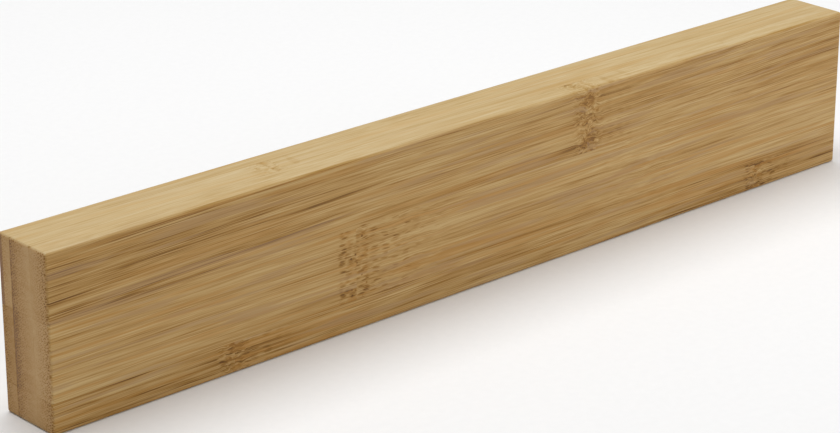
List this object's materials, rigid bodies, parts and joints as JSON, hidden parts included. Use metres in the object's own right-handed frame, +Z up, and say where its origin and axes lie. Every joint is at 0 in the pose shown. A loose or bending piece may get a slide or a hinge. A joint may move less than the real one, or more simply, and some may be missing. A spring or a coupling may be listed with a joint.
{
  "type": "magnetic knife rack",
  "caption": "Long flat bar of laminated bamboo with magnets sealed behind its front face, which holds knives by their blades; keyhole plates let into the back hang it on a wall.",
  "frame": {"origin": "middle of the back face, the face that lies against the wall", "axes": "+X along the bar, to the right as seen from the front; +Y out of the back, into the wall; +Z up; the knife face looks along -Y"},
  "size_m": [0.365, 0.025, 0.06],
  "materials": {
    "bamboo": "satin",
    "ferrite": "matte",
    "plain_steel": "satin",
    "foam_rubber": "matte",
    "plated_steel": "satin",
    "screw_steel": "satin"
  },
  "bodies": {
    "root": {"front_strip_lower": "bamboo", "front_strip_middle": "bamboo", "front_strip_upper": "bamboo", "core_strip_lower": "bamboo", "core_strip_middle_left": "bamboo", "core_strip_middle_right": "bamboo", "core_strip_upper": "bamboo", "back_strip_lower": "bamboo", "back_strip_middle": "bamboo", "back_strip_upper": "bamboo", "magnet_upper_1": "ferrite", "magnet_upper_2": "ferrite", "magnet_upper_3": "ferrite", "magnet_upper_4": "ferrite", "magnet_upper_5": "ferrite", "magnet_upper_6": "ferrite", "magnet_upper_7": "ferrite", "magnet_lower_1": "ferrite", "magnet_lower_2": "ferrite", "magnet_lower_3": "ferrite", "magnet_lower_4": "ferrite", "magnet_lower_5": "ferrite", "magnet_lower_6": "ferrite", "magnet_lower_7": "ferrite", "yoke_plate": "plain_steel", "packing_strip": "foam_rubber", "keyhole_plate_left": "plated_steel", "keyhole_plate_right": "plated_steel", "hanger_screws": "screw_steel"}
  },
  "joints": []
}
